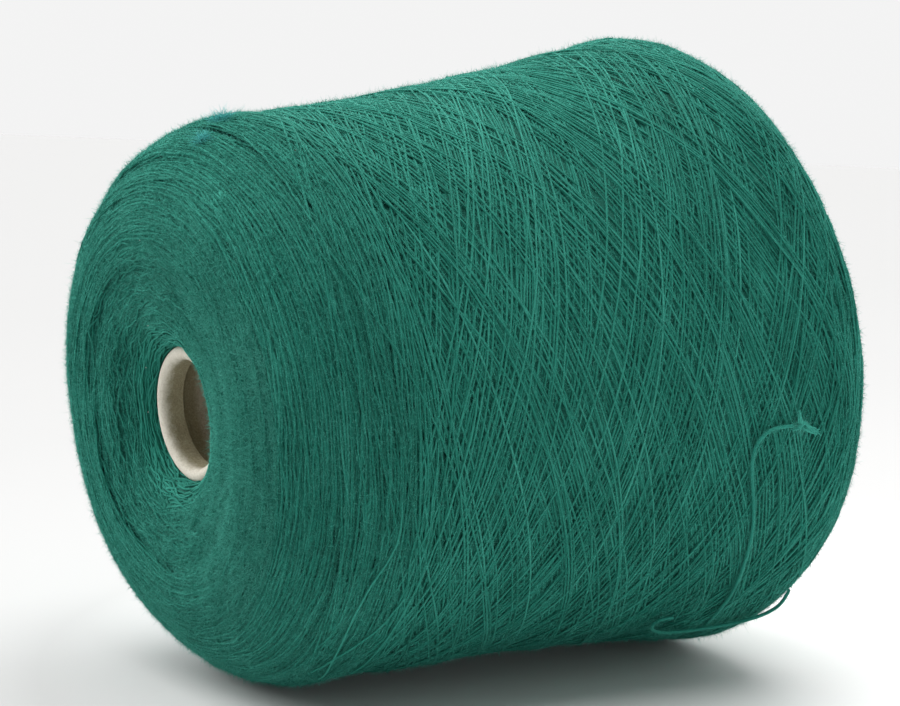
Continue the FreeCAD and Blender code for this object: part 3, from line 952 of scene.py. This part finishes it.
def add_cords(rng, yarn, fuzz):
    """The running end with its frayed knot, and the slack loop."""
    running = route_curve("running_end_yarn", RUNNING_END, FREE_YARN, yarn)
    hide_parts("running_end")
    loop = route_curve("slack_loop_yarn", SLACK_LOOP, FREE_YARN, yarn)
    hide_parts("slack_loop")
    knot = add_knot(rng, yarn, fuzz)
    for name, route in (("running_end_fuzz", RUNNING_END), ("slack_loop_fuzz", SLACK_LOOP)):
        line = route_line(route)
        tangents = unit(np.gradient(line, axis=0))
        picks = rng.integers(0, len(line), 420)
        outward = unit(np.cross(tangents[picks], rng.normal(0, 1, (len(picks), 3))))
        roots = line[picks] + outward * FREE_YARN * 0.4
        add_fuzz(name, roots, outward, tangents[picks], rng, fuzz, 2.2)


def add_knot(rng, yarn, fuzz):
    """A small knot: a lumpy ball of yarn, a frayed tail of many fine strands and a short tip."""
    low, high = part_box("tail_knot")
    centre = (np.array(low[:]) + np.array(high[:])) / 2 / MM
    ahead = unit(np.array(RUNNING_END[-1]) - np.array(RUNNING_END[-2]))
    upright = unit(np.cross(np.cross(ahead, [0, 0, 1]), ahead))
    aside = np.cross(ahead, upright)
    ball_points = 70
    t = np.linspace(0, 2 * math.pi, ball_points)
    line = (
        centre
        + np.outer(1.2 * np.sin(2 * t) + 0.45 * np.sin(t), ahead)
        + np.outer(0.72 * np.cos(3 * t), upright)
        + np.outer(0.72 * np.sin(3 * t + 0.5), aside)
    )
    half = np.full(ball_points, 0.42)
    strands = [(line, np.repeat(upright[None], ball_points, 0), half, half)]
    tip_points = 16
    x = np.linspace(0, 1, tip_points)
    frayed_tail = [(rng.uniform(3.2, 5.2), rng.uniform(-3.0, -1.2), 0.6, 0.26) for _ in range(13)]
    short_tip = [(-1.9, 3.4, 2.0, 0.28), (-1.5, 3.8, 2.2, 0.24), (-2.4, 2.9, 1.9, 0.2), (-1.2, 3.0, 1.6, 0.2)]
    for forward, rise, outward, size in frayed_tail + short_tip:
        curl = rng.uniform(-0.7, 0.7, 3)
        turns = rng.uniform(3, 8)
        tip = (
            centre
            + np.outer(x * forward + curl[0] * 0.5 * np.sin(turns * x), ahead)
            + np.outer(x**1.3 * rise + curl[1] * np.sin(turns * x), upright)
            + np.outer(x * outward + 0.5 * curl[2] * np.sin(turns * x), aside)
        )
        thick = size * (1 - 0.7 * x**3)
        strands.append((tip, np.repeat(aside[None], tip_points, 0), thick, thick))
    mesh = strand_mesh("tail_knot_yarn", strands, 8, rng.normal(2.4, 0.8, len(strands)))
    piece = add_object("tail_knot_yarn", mesh, yarn)
    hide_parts("tail_knot")
    spots = rng.normal(0, 1, (260, 3)) * np.array([1.3, 0.5, 0.8])
    normals = unit(spots)
    runs = unit(np.cross(normals, rng.normal(0, 1, spots.shape)))
    roots = centre + spots * 0.6
    add_fuzz("tail_knot_fuzz", roots, normals, runs, rng, fuzz, 1.9, thickness=0.08)
    return piece


def add_transfer_tail(axis, rng, yarn):
    """The reserve turns on the bare base end, with the strand that runs in under the package."""
    bends = [-0.5 * math.pi, 0.4 * math.pi, 8.4 * math.pi, 8.6 * math.pi]
    count = 420
    turn = np.linspace(bends[0], bends[-1], count)
    along = np.interp(turn, bends, [156.5, 165.4, 168.2, 168.3])
    out = np.array([wall_radius(value) for value in along]) + FREE_YARN / 2
    centres = axis.points(along, out, turn)
    normals = axis.directions(np.zeros(count), np.ones(count), turn)
    half = np.full(count, FREE_YARN / 2) * (1 + wobble(rng, count, 0.1, 4, 20))
    mesh = strand_mesh("transfer_turns", [(centres, normals, half, half)], 8, [0.0])
    piece = add_object("transfer_turns", mesh, yarn)
    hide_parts("transfer_tail")


def length_along(along):
    """Length along the outline of a place on the side, from its distance along the axis."""
    side = OUTLINE["length"] > ENDS["face"]
    outer = side & (OUTLINE["length"] < ENDS["base_shoulder"])
    return np.interp(along, OUTLINE["place"][outer, 0], OUTLINE["length"][outer])


def add_strays(axis, winding, rng, yarn):
    """Three loose stretches of yarn that ride low over the near nose shoulder: places along and turns."""
    routes = [
        [(23.0, -98), (23.2, -105), (22.5, -110), (18.8, -117), (17.1, -126), (17.9, -140), (21.0, -152)],
        [(29.0, -119), (25.3, -127), (22.6, -132), (18.3, -139), (16.5, -148)],
        [(44.0, -82), (36.0, -100), (30.0, -118), (27.5, -136), (28.0, -150)],
    ]
    strands = []
    for route in routes:
        marks = np.linspace(0, len(route) - 1, 12 * len(route))
        knots = np.arange(len(route))
        along = np.interp(marks, knots, [place for place, _ in route])
        turn = np.radians(np.interp(marks, knots, [place for _, place in route]))
        s = length_along(smoothed(along, 13, 6))
        lift = 0.42 * smoothstep(np.minimum(marks, len(route) - 1 - marks) * 1.5) - 0.1
        strands.append(package_strand(axis, (s, turn, winding.top(s, turn) * 0.3 + lift), rng, 0.5, 0.5))
    mesh = strand_mesh("stray_turns", strands, 8, [1.2, 0.6, 0.9])
    add_object("stray_turns", mesh, yarn)


def add_lint(axis, winding, rng):
    """A tuft of blue-green lint and a smudge of it at the top of the nose shoulder, and white specks."""
    lint = wool_material("lint", (0.04, 0.32, 0.31), (0.08, 0.46, 0.45), (0.16, 0.60, 0.58), twist=False)
    tufts = (("lint_tuft", 20.5, -3.0, 170, 4.2), ("lint_smudge", 13.0, -7.0, 130, 3.0))
    for name, along, turn, count, reach in tufts:
        s = length_along(along) + rng.normal(0, 0.9, count)
        turns = math.radians(turn) + rng.normal(0, 0.016, count)
        roots, normals = axis.on_package(s, turns, winding.top(s, turns) + 0.35)
        runs = np.cross(np.broadcast_to(axis.along, normals.shape), normals)
        add_fuzz(name, roots, normals, runs, rng, lint, reach, thickness=0.09)
    speck, shader = new_material("lint_speck")
    place = node(speck, "ShaderNodeTexCoord").outputs["Object"]
    pale = ramp(speck, noise(speck, place, 3000.0), [(0.3, (0.72, 0.73, 0.68)), (0.7, (0.94, 0.95, 0.90))])
    speck.node_tree.links.new(pale, shader.inputs["Base Color"])
    shader.inputs["Roughness"].default_value = 0.8
    places = [
        (length_along(24.0), -26.1, 0.27),
        (ENDS["face"], 4.2, 0.14),
        (9.0, 21.6, 0.2),
        (5.0, 64.0, 0.15),
        (4.0, 96.0, 0.12),
        (length_along(133.1), -31.3, 0.16),
    ]
    flake_faces = [(0, 1, 2), (0, 2, 3), (0, 3, 1), (1, 4, 2), (2, 5, 3), (4, 5, 2)]
    corners, faces = [], []
    for s, turn, size in places:
        turn = np.array([math.radians(turn)])
        s = np.array([s])
        centre, normal = axis.on_package(s, turn, winding.top(s, turn) + 0.2)
        first = len(corners)
        flake = rng.normal(0, size, (6, 3))
        corners += list((centre + flake) * MM)
        faces += [[first + corner for corner in face] for face in flake_faces]
    add_object("lint_specks", new_mesh("lint_specks", corners, faces, smooth=False), speck)


def add_hairs(axis, winding, rng, fuzz, nap):
    """Long and short fibres all over, a dense patch of thicker pale fibres on the near nose face, partly its
    own fuzz and partly painted light that brightens it, and a nap lying on the turns.
    """
    for name, long, short, low, high in (
        ("side", 50000, 90000, ENDS["shoulder"], ENDS["side"]),
        ("nose", 52000, 80000, 8.0, ENDS["shoulder"]),
        ("base", 36000, 60000, ENDS["side"], TOTAL - 1),
    ):
        roots = fibre_roots(axis, winding, rng, long, low, high)
        add_fuzz(name + "_fuzz", *roots, rng, fuzz, 1.8, thickness=0.065)
        roots = fibre_roots(axis, winding, rng, short, low, high)
        add_fuzz(name + "_down", *roots, rng, fuzz, 1.35, thickness=0.06, short=True)
    # The near nose face's fuzz, laid on denser and thicker in the paler fibre colour: partly the face's own
    # fuzz, partly painted light where that face is lit.
    lit_patch_roots = fibre_roots(axis, winding, rng, 26000, 9.5, 40.0, middle=-95)
    add_fuzz("fuzz_patch_painted_light", *lit_patch_roots, rng, fuzz, 2.0, thickness=0.09)
    lying = fibre_roots(axis, winding, rng, 16000, ENDS["shoulder"], TOTAL - 1)
    add_fuzz("side_nap", *lying, rng, nap, 3.2, thickness=0.11, nap=True)
    lying = fibre_roots(axis, winding, rng, 34000, 9.0, ENDS["shoulder"])
    add_fuzz("nose_nap", *lying, rng, nap, 2.6, thickness=0.14, nap=True)


def main():
    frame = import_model()
    axis = Axis(frame["record"])
    rng = np.random.default_rng(SEED)
    add_camera()
    add_studio()

    deep, mid, light = (0.004, 0.100, 0.069), (0.0135, 0.205, 0.151), (0.050, 0.350, 0.272)
    yarn = wool_material("wool_yarn", deep, mid, light)
    free = wool_material("free_yarn", (0.006, 0.12, 0.088), (0.018, 0.222, 0.168), (0.052, 0.37, 0.29))
    # The core shows only between the turns; its colours are the yarn's at about half brightness, as painted
    # shade in those gaps.
    shaded_core_colours = (0.002, 0.055, 0.037), (0.006, 0.11, 0.08), (0.015, 0.17, 0.125)
    core = wool_material("wool_core_painted_shade", *shaded_core_colours, twist=False)
    # The loose fibres are coloured a step paler than the wound yarn, as painted light for the glow of backlit
    # fuzz.
    fuzz = wool_material("wool_fibre_painted_glow", mid, light, (0.14, 0.56, 0.46), twist=False, sheen=1.0)
    nap = wool_material("wool_nap", deep, mid, light, twist=False, sheen=0.4)
    board = board_material(axis)
    cone = frame["nodes"]["paper_cone"]
    for slot in cone.material_slots:
        slot.material = board

    winding, sides, nose_end, base_end = wind_package(rng)
    add_core(axis, winding, core)
    add_strands("side_turns", axis, sides, rng, yarn)
    add_strands("nose_turns", axis, nose_end, rng, yarn)
    add_strands("base_turns", axis, base_end, rng, yarn)
    add_hairs(axis, winding, rng, fuzz, nap)
    add_strays(axis, winding, rng, yarn)
    add_lint(axis, winding, rng)
    add_cords(rng, free, fuzz)
    add_transfer_tail(axis, rng, yarn)


main()
